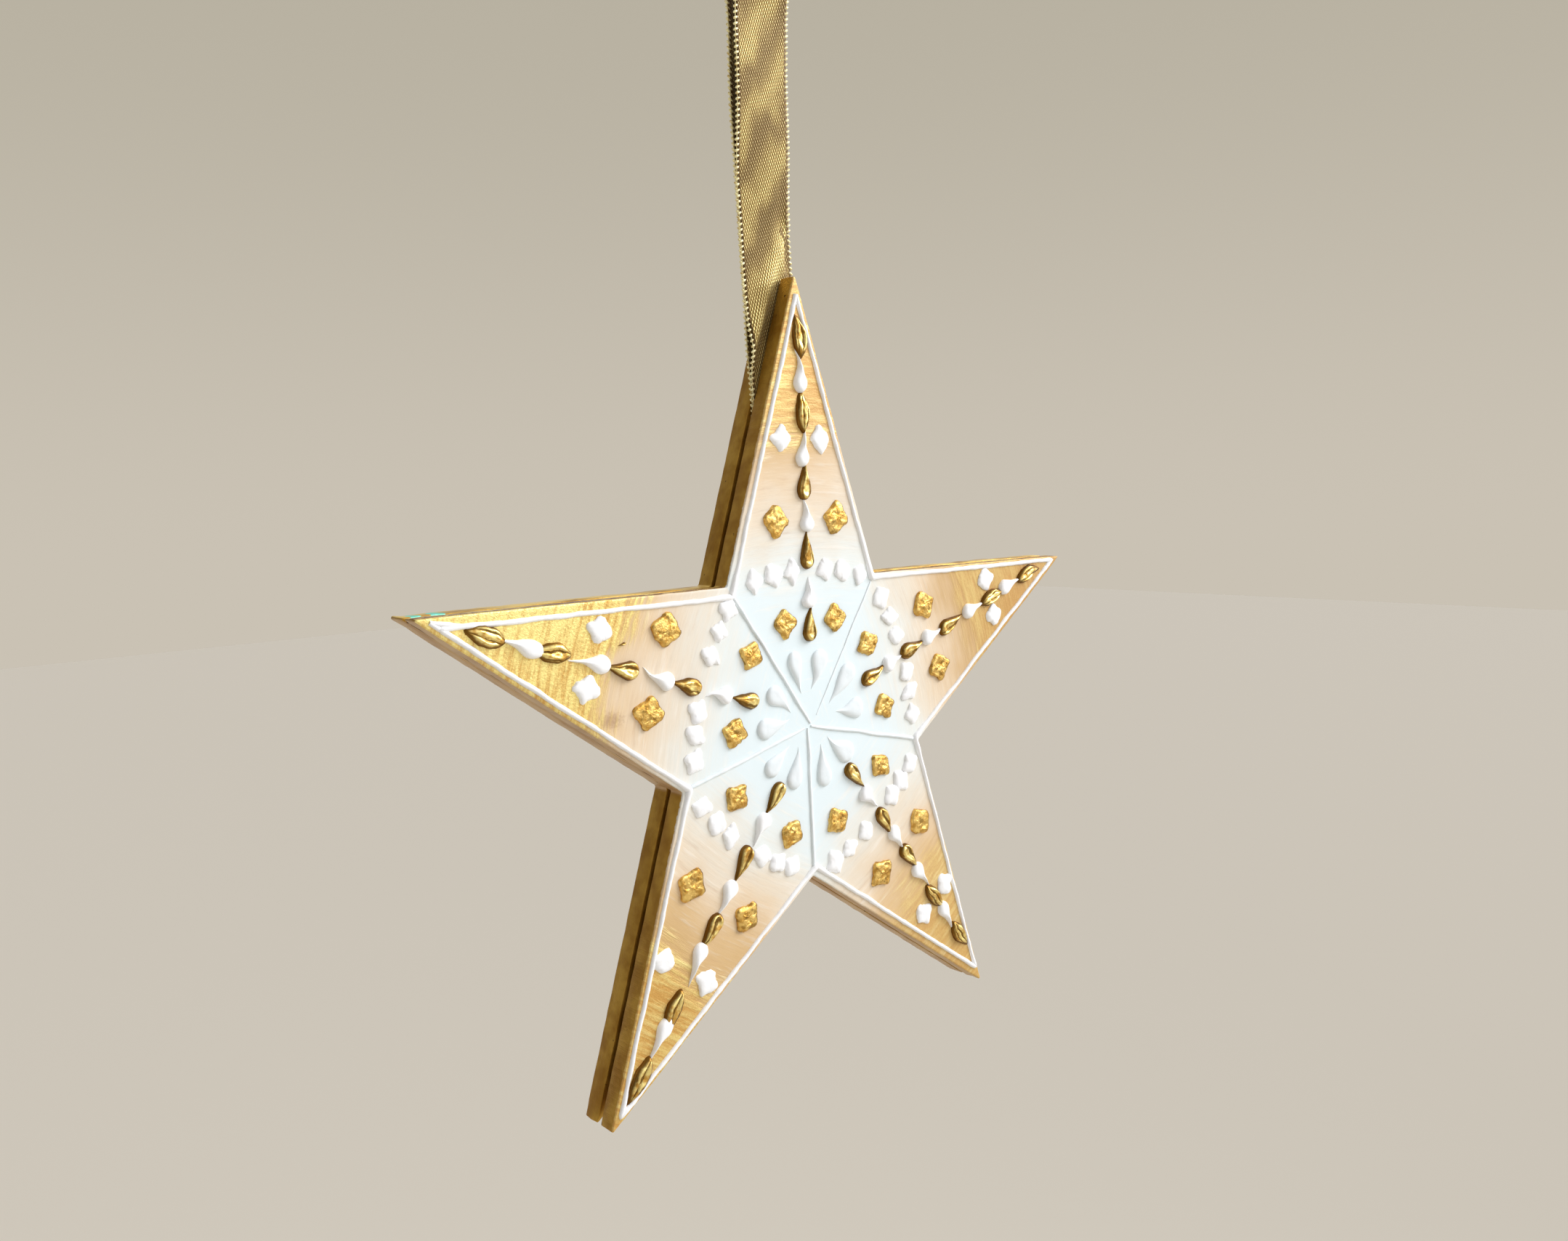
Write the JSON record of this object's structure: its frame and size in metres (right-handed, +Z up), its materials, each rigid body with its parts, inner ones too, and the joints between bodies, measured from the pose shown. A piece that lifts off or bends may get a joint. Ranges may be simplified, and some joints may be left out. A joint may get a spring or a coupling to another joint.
{
  "type": "hanging star ornament",
  "caption": "Wooden star ornament on a looped satin ribbon, with piped white and gold paint in a radial pattern on its front.",
  "frame": {"origin": "inside top of the ribbon loop, where a hook or twig bears", "axes": "+Z up along the hanging ribbon, the decorated face towards -Y, +X to the right as one faces it"},
  "size_m": [0.1318, 0.0084, 0.1846],
  "materials": {
    "front_paint": "brushed acrylic paint, pale in the middle and gold at the tips, with raised white and gold paint",
    "back_paint": "brushed dull gold-brown paint",
    "white_raised_paint": "thick glossy white paint, piped",
    "gold_raised_paint": "thick metallic gold paint, piped and dabbed",
    "satin_ribbon": "gold satin weave with a looped selvedge"
  },
  "bodies": {
    "root": {"front_star": "front_paint", "back_star": "back_paint", "hanging_ribbon": "satin_ribbon"}
  },
  "joints": []
}
